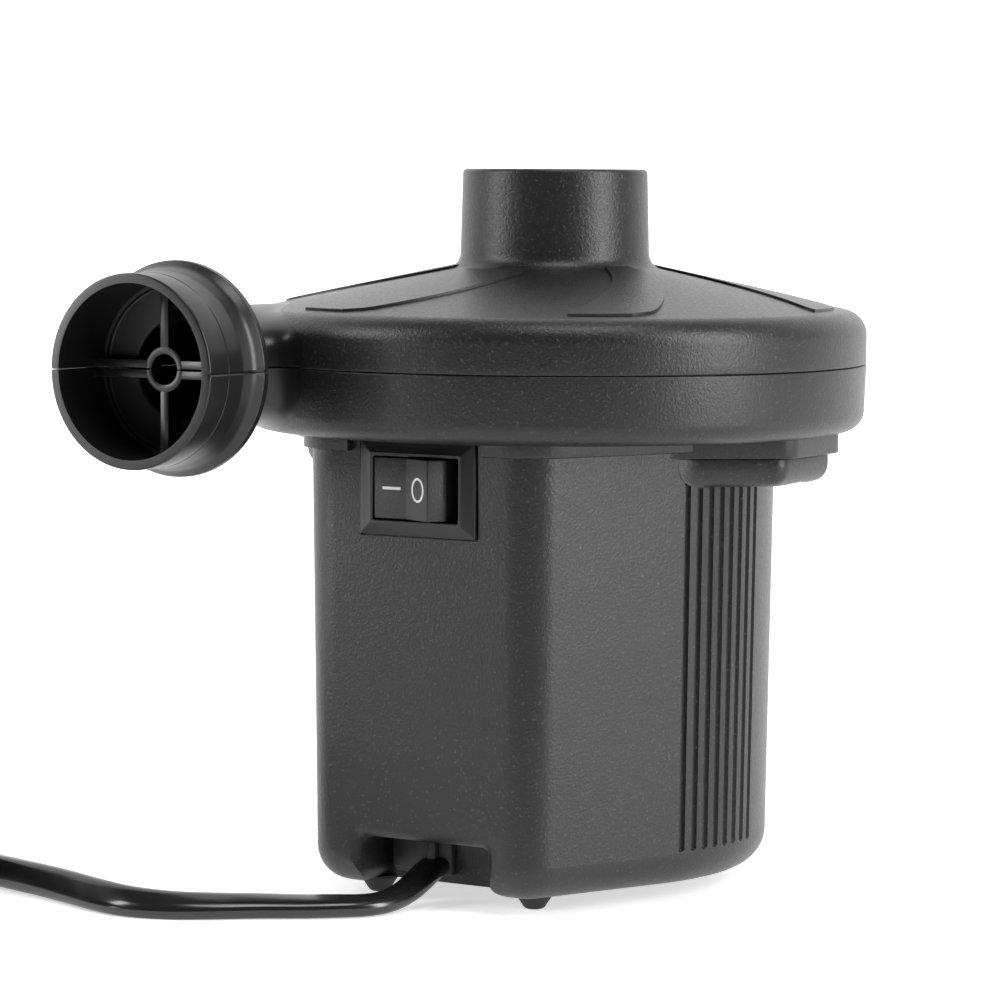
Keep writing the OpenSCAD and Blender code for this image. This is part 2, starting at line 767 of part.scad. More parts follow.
module brown_lead() {
    color("saddlebrown") {
        lead([[-4.2, -26.5, 8.7], [-4.2, -25, 8.7], [-6, -24.2, 10.5], [-8, -26, 15.5], [-9, -28, 25.5],
            [-9, -29, 41.5], [-8, -27, 53.5], [-6, -24, 59.5], [-5, -22.5, 63], [-5, -22.5, 65.6]], lead_r);
        lead([[5, -22.5, 65.6], [5, -22.5, 63], [6, -24, 59.5], [8, -27, 53.5], [9, -29, 41.5],
            [9, -28, 25.5], [8.6, -23, 18.5], [7.6, -16, 16.9], [7, -10, 16.7], [7, -7, 16.1],
            [7, -6.4, 15.3], [7, -6.4, 14.1]], lead_r);
    }
}

module blue_lead() {
    color("steelblue") lead([[-1.8, -26.5, 8.7], [-1.8, -25, 8.7], [-1, -22, 10.1], [1, -17.6, 13.5],
        [3, -14, 15.8], [4, -10.5, 16.4], [4, -7.6, 16.3], [4, -6.4, 15.4], [4, -6.4, 14.1]], lead_r);
}

// ---- switch ----

module switch_frame() {
    color(gloss_black) translate([0, 0, switch_z]) difference() {
        union() {
            hull() {
                translate([-bezel_w / 2, -body_front - 0.4, -bezel_h / 2]) cube([bezel_w, 0.4, bezel_h]);
                translate([-opening_w / 2 - 0.5, rim_y, -opening_h / 2 - 0.5])
                    cube([opening_w + 1, 0.4, opening_h + 1]);
            }
            translate([-cutout_w / 2, -body_front, -cutout_h / 2])
                cube([cutout_w, body_front + frame_back, cutout_h]);
        }
        translate([-opening_w / 2, -60, -opening_h / 2]) cube([opening_w, 25, opening_h]);
        translate([-frame_inner_w / 2, rim_y + 1, -frame_inner_h / 2])
            cube([frame_inner_w, frame_back - 1.5 - rim_y - 1, frame_inner_h]);
        translate([0, pivot_y, -6]) cylinder(r = pin_r + 0.05, h = 12);
        for (x = [-5, 5]) translate([x - 2.4, frame_back - 3, -0.4]) cube([4.8, 6, 0.8]);
    }
}

module switch_terminals() {
    color(brass) translate([0, 0, switch_z]) for (x = [-5, 5])
        translate([x - 2.4, frame_back - 1.5, -0.4]) cube([4.8, 6.5, 0.8]);
}

module fixed_contact() {
    color(copper) translate([0, 0, switch_z]) {
        translate([4, frame_back - 2.1, -1.5]) cube([3, 0.6, 3]);
        translate([-5, frame_back - 2, -0.5]) cube([5, 0.5, 1]);
        translate([-0.5, arm_y + 0.64, -0.5]) cube([1, frame_back - 1.5 - arm_y - 0.64, 1]);
    }
}

// The rocker in its own frame: the pivot at the origin and the facets towards -Y
module rocker() {
    color(gloss_black) translate([0, pivot_y, switch_z]) rotate(rocker_tilt) {
        translate([0, 0, -rocker_h / 2]) linear_extrude(rocker_h)
            polygon([[0, -8], [5.7, -9.24], [6.9, -6.2], [6.8, -3.5], [2.6, 0.8], [1.4, 2.2], [1.4, 3.4],
                [-1.4, 3.4], [-1.4, 2.2], [-2.6, 0.8], [-6.8, -3.5], [-6.9, -6.2], [-5.7, -9.24]]);
        translate([0, 0, -5.9]) cylinder(r = pin_r, h = 11.8);
    }
}

module rocker_spring() {
    color(steel) translate([0, pivot_y, switch_z]) rotate(rocker_tilt) translate([0, 3.4, 0])
        rotate([-90, 0, 0]) cylinder(r = 0.7, h = 0.5);
}

module rocker_plunger() {
    color(white_plastic) translate([0, pivot_y, switch_z]) rotate(rocker_tilt) translate([0, 3.9, 0])
        rotate([-90, 0, 0]) cylinder(r = 1, h = 0.85);
}

// The seesaw under the plunger. It is drawn with its left end lifted, as when the switch is on.
module contact_arm() {
    color(copper) translate([0, arm_y, switch_z]) rotate(arm_tilt) {
        translate([-5.6, -0.5, -1.5]) cube([11.2, 0.5, 3]);
        translate([0, 0, -1.2]) cylinder(r = 0.6, h = 2.4);
        translate([4.6, 0, -1]) cube([1.6, 0.3, 2]);
    }
}

// ---- cord ----

module strain_relief() {
    color(rubber) {
        translate([-relief_x - 0.6, -recess_back - relief_flange, relief_z - 1.2])
            cube([relief_w + 1.8, relief_flange, relief_h + 1.6]);
        translate([-relief_x, -recess_back, relief_z]) cube([relief_w, recess_wall, relief_h]);
        translate([-relief_x - 0.6, -recess_back + recess_wall, relief_z + 1.6])
            cube([relief_w + 1.2, relief_flange, relief_h - 1.2]);
    }
}

module cord_run() {
    color(gloss_black) cord(run_points, run_tilts, cord_w, cord_t);
}

module cord_coil() {
    color(gloss_black) translate([coil_at.x, coil_at.y, 0]) difference() {
        cylinder(r = coil_outer, h = coil_h);
        translate([0, 0, -1]) cylinder(r = coil_inner, h = coil_h + 2);
    }
}

module cord_tail() {
    color(gloss_black) cord(tail_points, tail_tilts, cord_w, cord_t);
}

// A flat two-pin plug that lies on the coil and points to +X
module plug_body() {
    color(gloss_black) translate([plug_at.x, plug_at.y, coil_h]) hull() {
        translate([0, -4, 0]) cube([4, 8, 9]);
        translate([20, -17.6, 0]) cube([16, 35.2, 13.7]);
    }
}

module plug_pins() {
    color(brass) for (y = [-9.5, 9.5]) translate([plug_at.x + 36, plug_at.y + y, coil_h + 6.85])
        rotate([0, 90, 0]) cylinder(r = 2, h = 19);
}

top_cover();
lower_volute();
motor_housing();
feet();
ear_screws();
cover_screws();
fan_wheel();
fan_bush();
motor_shaft();
armature_core();
armature_windings();
commutator();
motor_can();
magnets();
front_bearing();
rear_bearing();
motor_end_cap();
brushes();
brush_springs();
motor_terminals();
motor_screws();
motor_damper();
circuit_board();
board_screws();
rectifier_diodes();
suppressor_capacitor();
thermal_fuse();
motor_leads();
brown_lead();
blue_lead();
switch_frame();
switch_terminals();
fixed_contact();
rocker();
rocker_plunger();
rocker_spring();
contact_arm();
strain_relief();
cord_run();
cord_coil();
cord_tail();
plug_body();
plug_pins();
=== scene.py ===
import math
import bmesh
import bpy
import numpy as np
from mathutils import Matrix, Vector


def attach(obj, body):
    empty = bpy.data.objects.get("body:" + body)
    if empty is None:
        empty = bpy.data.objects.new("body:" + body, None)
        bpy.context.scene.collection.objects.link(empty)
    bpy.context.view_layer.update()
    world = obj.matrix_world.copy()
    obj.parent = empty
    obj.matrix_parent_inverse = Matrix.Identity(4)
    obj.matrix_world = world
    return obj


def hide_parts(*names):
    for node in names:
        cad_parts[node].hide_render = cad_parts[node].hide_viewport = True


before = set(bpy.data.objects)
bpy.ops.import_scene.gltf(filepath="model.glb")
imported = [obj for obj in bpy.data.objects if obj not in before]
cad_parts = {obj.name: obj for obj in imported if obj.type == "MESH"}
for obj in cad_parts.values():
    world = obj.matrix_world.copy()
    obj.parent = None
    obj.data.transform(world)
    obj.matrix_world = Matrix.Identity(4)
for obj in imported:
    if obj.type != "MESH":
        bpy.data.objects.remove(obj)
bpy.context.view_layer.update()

MM = 0.001

# ---------------------------------------------------------------- camera
# The photo's camera: its turn about the pump, distance, height and small turns, in mm and degrees
view_turn = math.radians(30.2)
view_distance = 640.0
view_height = 114.7
view_yaw = math.radians(0.78)
view_pitch = math.radians(4.76)
view_roll = math.radians(0.31)
focal, view_width, film = 3920, 1000, 36
camera_data = bpy.data.cameras.new("camera")
camera = bpy.data.objects.new("camera", camera_data)
bpy.context.scene.collection.objects.link(camera)
camera.location = Vector((view_distance * math.sin(view_turn), -view_distance * math.cos(view_turn),
                          view_height)) * MM
flat = Vector((-math.sin(view_turn + view_yaw), math.cos(view_turn + view_yaw), 0))
forward = flat * math.cos(view_pitch) + Vector((0, 0, -math.sin(view_pitch)))
right = forward.cross(Vector((0, 0, 1))).normalized()
up = right.cross(forward)
right, up = (right * math.cos(view_roll) + up * math.sin(view_roll),
             up * math.cos(view_roll) - right * math.sin(view_roll))
camera.rotation_mode = "QUATERNION"
camera.rotation_quaternion = Matrix((right, up, -forward)).transposed().to_quaternion()
camera_data.sensor_width = film
camera_data.lens = focal * film / view_width
camera_data.clip_start = 0.05
camera_data.clip_end = 30
bpy.context.scene.camera = camera


# ---------------------------------------------------------------- mesh tools
class Shape:
    """Points in mm and faces, each with a material number."""

    def __init__(self):
        self.points, self.faces, self.mats = [], [], []

    def add(self, points, faces, mat=0):
        base = len(self.points)
        self.points += [tuple(float(c) for c in p) for p in points]
        self.faces += [tuple(base + i for i in f) for f in faces]
        self.mats += [mat] * len(faces)

    def grid(self, rows, mat=0, loop_rows=False, loop_cols=False, cap_first=False, cap_last=False):
        """Faces between rows of points that all have the same count."""
        n = len(rows[0])
        pts = [p for row in rows for p in row]
        faces = []
        for i in range(len(rows) if loop_rows else len(rows) - 1):
            for j in range(n if loop_cols else n - 1):
                a, b = i * n + j, i * n + (j + 1) % n
                c, d = ((i + 1) % len(rows)) * n + (j + 1) % n, ((i + 1) % len(rows)) * n + j
                faces.append((a, b, c, d))
        if cap_first:
            faces.append(tuple(reversed(range(n))))
        if cap_last:
            faces.append(tuple((len(rows) - 1) * n + j for j in range(n)))
        self.add(pts, faces, mat)

    def revolve(self, profile, mat=0, centre=(0, 0, 0), axis="z", steps=180, start=0.0, end=360.0,
                closed=True):
        """A profile of (radius, height) pairs about an axis through centre."""
        full = abs(end - start - 360) < 1e-6
        count = steps if full else steps + 1
        rows = []
        for k in range(count):
            a = math.radians(start + (end - start) * k / steps)
            row = []
            for r, h in profile:
                u, v = r * math.cos(a), r * math.sin(a)
                p = (u, v, h) if axis == "z" else (u, h, v) if axis == "y" else (h, u, v)
                row.append(tuple(p[i] + centre[i] for i in range(3)))
            rows.append(row)
        self.grid(rows, mat, loop_rows=full, loop_cols=closed, cap_first=not full and closed,
                  cap_last=not full and closed)

    def block(self, low, high, bevel=0.0, mat=0, turn=None, steps=2):
        """A box with rounded edges, turned by a matrix if one is given."""
        bm = bmesh.new()
        bmesh.ops.create_cube(bm, size=1)
        for v in bm.verts:
            v.co = Vector([low[i] + (v.co[i] + 0.5) * (high[i] - low[i]) for i in range(3)])
        if bevel:
            bmesh.ops.bevel(bm, geom=bm.edges[:], offset=bevel, segments=steps, profile=0.5, affect="EDGES")
        if turn is not None:
            bmesh.ops.transform(bm, matrix=turn, verts=bm.verts)
        bm.verts.index_update()
        self.add([v.co for v in bm.verts], [[v.index for v in f.verts] for f in bm.faces], mat)
        bm.free()

    def build(self, name, materials, body="root", replaces=(), sharp=32, weld=True):
        mesh = bpy.data.meshes.new(name)
        mesh.from_pydata([Vector(p) * MM for p in self.points], [], self.faces)
        for m in materials:
            mesh.materials.append(m)
        mesh.polygons.foreach_set("material_index", self.mats)
        bm = bmesh.new()
        bm.from_mesh(mesh)
        if weld:
            bmesh.ops.remove_doubles(bm, verts=bm.verts, dist=2e-6)
        bmesh.ops.recalc_face_normals(bm, faces=bm.faces)
        bm.to_mesh(mesh)
        bm.free()
        mesh.validate()
        finish_mesh(mesh, sharp)
        obj = bpy.data.objects.new(name, mesh)
        bpy.context.scene.collection.objects.link(obj)
        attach(obj, body)
        if replaces:
            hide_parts(*replaces)
        return obj


def finish_mesh(mesh, sharp):
    mesh.polygons.foreach_set("use_smooth", [True] * len(mesh.polygons))
    mesh.set_sharp_from_angle(angle=math.radians(sharp))
    mesh.update()


def rounded(points, closed=True, steps=6):
    """A polyline of (x, y, radius) whose corners are rounded by their radius."""
    out, n = [], len(points)
    for i, (x, y, radius) in enumerate(points):
        if not radius or (not closed and i in (0, n - 1)):
            out.append((x, y))
            continue
        p = np.array((x, y), float)
        a = np.array(points[i - 1][:2], float) - p
        b = np.array(points[(i + 1) % n][:2], float) - p
        la, lb = np.linalg.norm(a), np.linalg.norm(b)
        a, b = a / la, b / lb
        half = math.acos(max(-1, min(1, float(a @ b)))) / 2
        if half > math.radians(89.5):
            out.append((x, y))
            continue
        t = min(radius / math.tan(half), la * 0.49, lb * 0.49)
        r = t * math.tan(half)
        centre = p + (a + b) / np.linalg.norm(a + b) * r / math.sin(half)
        s, e = p + a * t - centre, p + b * t - centre
        turn = math.atan2(s[0] * e[1] - s[1] * e[0], float(s @ e))
        count = max(2, steps)
        for k in range(count + 1):
            w = turn * k / count
            out.append(tuple(centre + (s[0] * math.cos(w) - s[1] * math.sin(w),
                                       s[0] * math.sin(w) + s[1] * math.cos(w))))
    return out


def smooth_step(x):
    x = min(1.0, max(0.0, x))
    return x * x * (3 - 2 * x)


def cut(obj, cutters, sharp=32):
    """Takes closed shapes away from obj, and leaves a plain mesh."""
    for c in cutters:
        mod = obj.modifiers.new("cut", "BOOLEAN")
        mod.operation, mod.solver, mod.object = "DIFFERENCE", "EXACT", c
    bpy.context.view_layer.update()
    made = bpy.data.meshes.new_from_object(obj.evaluated_get(bpy.context.evaluated_depsgraph_get()))
    obj.modifiers.clear()
    old, obj.data = obj.data, made
    bpy.data.meshes.remove(old)
    for c in cutters:
        bpy.data.objects.remove(c)
    finish_mesh(obj.data, sharp)


def tool(shape, name):
    """A closed shape for cut()."""
    mesh = bpy.data.meshes.new(name)
    mesh.from_pydata([Vector(p) * MM for p in shape.points], [], shape.faces)
    bm = bmesh.new()
    bm.from_mesh(mesh)
    bmesh.ops.remove_doubles(bm, verts=bm.verts, dist=2e-6)
    bmesh.ops.recalc_face_normals(bm, faces=bm.faces)
    bm.to_mesh(mesh)
    bm.free()
    obj = bpy.data.objects.new(name, mesh)
    bpy.context.scene.collection.objects.link(obj)
    return obj


# ---------------------------------------------------------------- materials
def nodes_of(name):
    mat = bpy.data.materials.new(name)
    mat.use_nodes = True
    tree = mat.node_tree
    return mat, tree, tree.nodes["Principled BSDF"]


def surface(name, colour, rough, metal=0.0, grain=0.4, bump=0.3, depth=0.05, spread=0.08, sparkle_glints=0.0,
            rough_spread=0.1, coat=0.0, stretch=(1, 1, 1), specular=0.5):
    """A moulded, drawn or cast surface. Grain and bump depth are in mm, and colour and gloss vary, with
    painted glints: lighter base colour on the grain's peaks.
    """
    mat, tree, shader = nodes_of(name)
    new, link = tree.nodes.new, tree.links.new
    place = new("ShaderNodeTexCoord")
    scale = new("ShaderNodeMapping")
    scale.inputs["Scale"].default_value = stretch
    link(place.outputs["Object"], scale.inputs["Vector"])
    fine = new("ShaderNodeTexNoise")
    fine.inputs["Scale"].default_value = 1 / (grain * MM)
    fine.inputs["Detail"].default_value = 3
    fine.inputs["Roughness"].default_value = 0.6
    link(scale.outputs["Vector"], fine.inputs["Vector"])
    broad = new("ShaderNodeTexNoise")
    broad.inputs["Scale"].default_value = 1 / (14 * MM)
    broad.inputs["Detail"].default_value = 4
    link(scale.outputs["Vector"], broad.inputs["Vector"])
    tone = new("ShaderNodeMapRange")
    tone.inputs["From Min"].default_value, tone.inputs["From Max"].default_value = 0.3, 0.7
    tone.inputs["To Min"].default_value, tone.inputs["To Max"].default_value = 1 - spread, 1 + spread
    link(broad.outputs["Fac"], tone.inputs["Value"])
    paint = new("ShaderNodeVectorMath")
    paint.operation = "SCALE"
    paint.inputs[0].default_value = colour
    link(tone.outputs["Result"], paint.inputs["Scale"])
    last = paint.outputs["Vector"]
    # Painted glints: lighter base colour on the peaks of the fine grain stands in for sparkle
    if sparkle_glints:
        glint_dots = new("ShaderNodeMapRange")
        glint_dots.inputs["From Min"].default_value, glint_dots.inputs["From Max"].default_value = 0.61, 0.72
        glint_dots.inputs["To Min"].default_value, glint_dots.inputs["To Max"].default_value = 0, sparkle_glints
        link(fine.outputs["Fac"], glint_dots.inputs["Value"])
        more = new("ShaderNodeVectorMath")
        more.operation = "ADD"
        link(last, more.inputs[0])
        link(glint_dots.outputs["Result"], more.inputs[1])
        last = more.outputs["Vector"]
    link(last, shader.inputs["Base Color"])
    gloss = new("ShaderNodeMapRange")
    gloss.inputs["From Min"].default_value, gloss.inputs["From Max"].default_value = 0.3, 0.7
    gloss.inputs["To Min"].default_value = rough - rough_spread / 2
    gloss.inputs["To Max"].default_value = rough + rough_spread / 2
    link((fine if sparkle_glints else broad).outputs["Fac"], gloss.inputs["Value"])
    link(gloss.outputs["Result"], shader.inputs["Roughness"])
    relief = new("ShaderNodeBump")
    relief.inputs["Strength"].default_value = bump
    relief.inputs["Distance"].default_value = depth * MM
    link(fine.outputs["Fac"], relief.inputs["Height"])
    link(relief.outputs["Normal"], shader.inputs["Normal"])
    shader.inputs["Metallic"].default_value = metal
    shader.inputs["Coat Weight"].default_value = coat
    shader.inputs["Coat Roughness"].default_value = 0.15
    shader.inputs["Specular IOR Level"].default_value = specular
    return mat


# The matte housing and the rocker carry painted glints, as lighter base colour on their grain's peaks
housing = surface("housing_matte", (0.009, 0.009, 0.0092), 0.38, grain=0.45, bump=0.6, depth=0.13,
                  sparkle_glints=0.05, rough_spread=0.12)
satin = surface("housing_satin", (0.008, 0.008, 0.0082), 0.34, grain=0.8, bump=0.2, depth=0.02)
inside_black = surface("nozzle_inside", (0.006, 0.006, 0.0062), 0.42, grain=0.9, bump=0.2, depth=0.03)
switch_black = surface("switch_black", (0.007, 0.007, 0.0072), 0.34, grain=0.35, bump=0.5, depth=0.03)
rocker_black = surface("rocker_black", (0.011, 0.011, 0.012), 0.40, grain=0.30, bump=0.6, depth=0.09,
                       sparkle_glints=0.03)
mark_white = surface("mark_white", (0.86, 0.86, 0.85), 0.5, grain=0.5, bump=0.2, depth=0.02, spread=0.02)
foot_rubber = surface("foot_rubber", (0.016, 0.016, 0.016), 0.7, grain=0.5, bump=0.6, depth=0.05)
cord_black = surface("cord_black", (0.010, 0.010, 0.011), 0.22, grain=2.4, bump=0.12, depth=0.05, coat=0.3,
                     rough_spread=0.06)
plug_black = surface("plug_black", (0.016, 0.016, 0.017), 0.38, grain=0.6, bump=0.3, depth=0.04)
relief_black = surface("relief_black", (0.018, 0.018, 0.018), 0.5, grain=0.5, bump=0.4, depth=0.04)
screw_steel = surface("screw_steel", (0.60, 0.60, 0.62), 0.32, metal=1, grain=0.5, bump=0.2, depth=0.02,
                      spread=0.12)
bright_steel = surface("bright_steel", (0.70, 0.71, 0.73), 0.18, metal=1, grain=0.4, bump=0.15, depth=0.01,
                       stretch=(1, 1, 0.2))
can_steel = surface("can_steel", (0.58, 0.59, 0.61), 0.3, metal=1, grain=1.2, bump=0.2, depth=0.02,
                    stretch=(1, 1, 0.1), spread=0.1)
core_steel = surface("core_steel", (0.30, 0.30, 0.31), 0.45, metal=0.9, grain=0.5, bump=0.6, depth=0.05,
                     stretch=(0.05, 0.05, 2))
ferrite = surface("ferrite", (0.09, 0.09, 0.10), 0.6, grain=0.4, bump=0.6, depth=0.05)
copper_wire = surface("copper_wire", (0.62, 0.25, 0.10), 0.3, metal=0.8, grain=0.45, bump=0.9, depth=0.12,
                      stretch=(0.2, 0.2, 2.5), coat=0.4)
copper_bar = surface("copper_bar", (0.75, 0.40, 0.24), 0.3, metal=1, grain=0.4, bump=0.25, depth=0.02)
brass_part = surface("brass_part", (0.74, 0.56, 0.26), 0.26, metal=1, grain=0.4, bump=0.15, depth=0.01,
                     spread=0.06)
fan_white = surface("fan_white", (0.74, 0.74, 0.70), 0.5, grain=0.6, bump=0.25, depth=0.03, spread=0.03)
cap_black = surface("cap_black", (0.03, 0.03, 0.03), 0.45, grain=0.5, bump=0.3, depth=0.03)
carbon = surface("carbon", (0.045, 0.045, 0.05), 0.55, grain=0.3, bump=0.5, depth=0.03)
board = surface("board", (0.28, 0.19, 0.08), 0.5, grain=0.8, bump=0.3, depth=0.03, spread=0.12)
epoxy = surface("epoxy", (0.02, 0.02, 0.02), 0.4, grain=0.4, bump=0.3, depth=0.02)
capacitor = surface("capacitor", (0.78, 0.56, 0.06), 0.35, grain=0.6, bump=0.2, depth=0.02)
ceramic = surface("ceramic", (0.82, 0.82, 0.80), 0.45, grain=0.4, bump=0.2, depth=0.02, spread=0.03)
lead_red = surface("lead_red", (0.50, 0.03, 0.02), 0.35, grain=0.8, bump=0.15, depth=0.02)
lead_brown = surface("lead_brown", (0.16, 0.06, 0.02), 0.35, grain=0.8, bump=0.15, depth=0.02)
lead_blue = surface("lead_blue", (0.03, 0.12, 0.42), 0.35, grain=0.8, bump=0.15, depth=0.02)

kept = {
    "ear_screws": screw_steel, "cover_screws": screw_steel, "fan_wheel": fan_white, "fan_bush": brass_part,
    "motor_shaft": bright_steel, "armature_core": core_steel, "armature_windings": copper_wire,
    "commutator": copper_bar, "motor_can": can_steel, "magnets": ferrite, "front_bearing": brass_part,
    "rear_bearing": brass_part, "motor_end_cap": cap_black, "brushes": carbon, "brush_springs": brass_part,
    "motor_terminals": brass_part, "motor_screws": screw_steel, "motor_damper": foot_rubber,
    "circuit_board": board, "board_screws": screw_steel, "rectifier_diodes": epoxy,
    "suppressor_capacitor": capacitor, "thermal_fuse": ceramic, "motor_leads": lead_red,
    "brown_lead": lead_brown, "blue_lead": lead_blue, "switch_terminals": brass_part,
    "fixed_contact": copper_bar, "rocker_plunger": ceramic, "rocker_spring": bright_steel,
    "contact_arm": copper_bar, "plug_pins": brass_part}
for name, material in kept.items():
    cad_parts[name].data.materials.clear()
    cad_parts[name].data.materials.append(material)

# ---------------------------------------------------------------- cord
# The route of the cord, the same as in the CAD: out of the bushing, down to the table and to the coil
cord_w, cord_t = 5.2, 3.0
run_points = [
    (-2.8, -31.5, 5.4), (-2.7, -34, 4.8), (-2.6, -37, 3.7), (-2.6, -41, 2.5), (-3, -45.2, 1.8),
    (-4.4, -48.8, 1.6), (-7.6, -52.4, 1.7), (-12.4, -55.8, 1.7), (-17.6, -59.3, 1.8),
    (-23.4, -63.7, 1.9), (-29.2, -67.2, 2), (-35.5, -68.8, 2.2), (-42, -67.9, 2.4),
    (-48.8, -65.9, 2.6), (-55.5, -63.9, 2.7), (-62.2, -61.9, 2.7), (-68.6, -60, 2.7), (-74.6, -57.4, 2.7),
    (-80.2, -54.1, 2.7), (-86, -51.3, 2.7)]
run_tilts = [0, 0, 0, 0, 4, 8, 12, 16, 20, 26, 34, 44, 56, 68, 78, 86, 90, 90, 90, 90]
coil_at = (-97.0, -84.0)
coil_radii = (31.2, 28.1, 25.0)
coil_low, coil_high, coil_top = 2.68, 7.9, 13.15
tail_points = [(-125, -77.4, 13.2), (-127, -85.5, 13.2), (-126, -92.5, 13.3), (-123.3, -99, 13.6),
               (-118.5, -104, 14), (-112.5, -107.2, 14.6), (-106, -108, 15.1)]
tail_tilts = [90, 90, 84, 66, 44, 22, 0]


def coil_points():
    """Three turns inwards on the table, three outwards on top of them, then up to the tail."""
    out = []
    start, turn_step = 92, 10
    end = 6 * 360 + 150
    legs = [coil_radii[0], coil_radii[1], coil_radii[2], coil_radii[2], coil_radii[1], coil_radii[0]]
    a = start
    while a <= end:
        turn, inside = int((a - 75) // 360), (a - 75) % 360
        turn_now = min(turn, 5)
        before = legs[max(turn_now - 1, 0)]
        after = legs[turn_now]
        r = before + (after - before) * smooth_step((inside - 2) / 43) if turn <= 5 else after
        z = coil_low if turn < 3 else coil_high
        if turn == 3:
            z = coil_low + (coil_high - coil_low) * smooth_step(inside / 42)
        if turn >= 6:
            z = coil_high + (coil_top - coil_high) * smooth_step(inside / 46)
            r = after - (after - 28.0) * smooth_step(inside / 70)
        if turn == 0:
            r = after + 1.5 * (1 - smooth_step((inside - 10) / 40))
        out.append((coil_at[0] + r * math.cos(math.radians(a)), coil_at[1] + r * math.sin(math.radians(a)),
                    z))
        a += turn_step
    return out


def through(points, values, step):
    """A smooth line through the points, with their values, at about equal steps."""
    p = np.array(points, float)
    q = np.column_stack([p, values])
    q = np.vstack([2 * q[0] - q[1], q, 2 * q[-1] - q[-2]])
    out = []
    for i in range(1, len(q) - 2):
        length = np.linalg.norm(q[i + 1, :3] - q[i, :3])
        count = max(1, int(round(length / step)))
        for k in range(count):
            t = k / count
            out.append(0.5 * (2 * q[i] + (q[i + 1] - q[i - 1]) * t
                              + (2 * q[i - 1] - 5 * q[i] + 4 * q[i + 1] - q[i + 2]) * t * t
                              + (3 * q[i] - q[i - 1] - 3 * q[i + 1] + q[i + 2]) * t ** 3))
    out.append(q[-2])
    return np.array(out)


middle = coil_points()
route = through(run_points + middle + tail_points, run_tilts + [90] * len(middle) + tail_tilts, 1.6)


def cord_section():
    """A flat two-core cord: two round sides joined by a web that is a little thinner."""
    out = []
    for k in range(24):
        a = 2 * math.pi * k / 24
        x = cord_w / 2 * math.copysign(abs(math.cos(a)) ** 0.78, math.cos(a))
        y = cord_t / 2 * math.copysign(abs(math.sin(a)) ** 0.78, math.sin(a))
        out.append((x, y * (1 - 0.05 * math.exp(-(x / 0.6) ** 2))))
    return out


rows = []
for i, p in enumerate(route):
    ahead = route[min(i + 1, len(route) - 1), :3] - route[max(i - 1, 0), :3]
    ahead = ahead / np.linalg.norm(ahead)
    side = np.array([ahead[1], -ahead[0], 0.0])
    side = side / np.linalg.norm(side)
    over = np.cross(side, ahead)
    t = math.radians(p[3])
    c, s = math.cos(t), math.sin(t)
    rows.append([p[:3] + side * (x * c - y * s) + over * (x * s + y * c) for x, y in cord_section()])
shape = Shape()
shape.grid(rows, loop_cols=True, cap_first=True, cap_last=True)
cord = shape.build("cord", [cord_black], replaces=("cord_run", "cord_coil", "cord_tail"),
                   sharp=60)

# The plug: a moulded body that swells towards its face, with grip ribs on both sides
shape = Shape()
plug_rows = []
stations = [(-106, 7.8, 8.6), (-104.5, 8.6, 9.0), (-101, 9.6, 9.2), (-97, 13.5, 9.8), (-93, 20.5, 10.8),
            (-89, 28.5, 12.2),
            (-85, 33.2, 13.3), (-81, 35.0, 13.6), (-76, 35.2, 13.7), (-72, 35.0, 13.6),
            (-70.6, 34.4, 13.2), (-70, 33.0, 12.2)]
for x, w, h in stations:
    outline = rounded([(-w / 2, -h / 2, h * 0.32), (w / 2, -h / 2, h * 0.32), (w / 2, h / 2, h * 0.32),
                       (-w / 2, h / 2, h * 0.32)], steps=8)
    middle_z = 10.6 + h / 2 + (13.7 - h) / 2 * smooth_step((x + 106) / 17)
    plug_rows.append([(x, -108 + u, middle_z + v) for u, v in outline])
shape.grid(plug_rows, loop_cols=True, cap_first=True, cap_last=True)
for s in (-1, 1):
    for x in (-87.5, -85.0, -82.5, -80.0, -77.5):
        reach = 17.1 if x > -84 else 16.3 if x > -87 else 15.2
        shape.block((x - 0.5, -108 + s * reach - 0.9, 13.6), (x + 0.5, -108 + s * reach + 0.9, 21.4),
                    bevel=0.35)
plug = shape.build("plug", [plug_black], replaces=("plug_body",), sharp=40)

# ---------------------------------------------------------------- the fan housing
# Heights: the fan housing's underside, the line between its halves, the cone's root and the collar's top
disc_z, parting, cone_top_z, collar_top_z = 73.5, 84.3, 99.1, 115.5
guard_low, guard_high = 99.7, 102.3
gap = 0.05
cone_tan = math.tan(math.radians(12))


def cone_z(r):
    return cone_top_z - (r - 18.7) * cone_tan


rim_corner = (50.8, cone_z(50.8))
outside = rounded([(0.0, disc_z, 0), (50.42, disc_z, 3.4), (50.8, 85.5, 0), rim_corner + (6.2,),
                   (18.0, cone_z(18.0), 0)],
                  closed=False, steps=16)
cover_outside = [p for p in outside if p[1] > 85.6]
top_profile = rounded([(48.6, parting + gap, 0), (50.8, parting + gap, 0.24), (50.81, 85.7, 0)],
                      closed=False, steps=4)
top_profile += [p for p in cover_outside if p[0] > 18.5]
top_profile += rounded([(22, cone_z(22), 0), (15.42, cone_z(15.42), 2.6), (15.0, collar_top_z, 0.7),
                        (13.5, collar_top_z, 0.4), (13.5, guard_high, 0.2),
                        (13.0, guard_high, 0.1), (13.0, 98.1, 0.6), (48.6, 90.5, 4.0),
                        (48.6, parting + gap, 0)],
                       closed=False, steps=8)[1:-1]
top = Shape()
top.revolve(top_profile, steps=360)


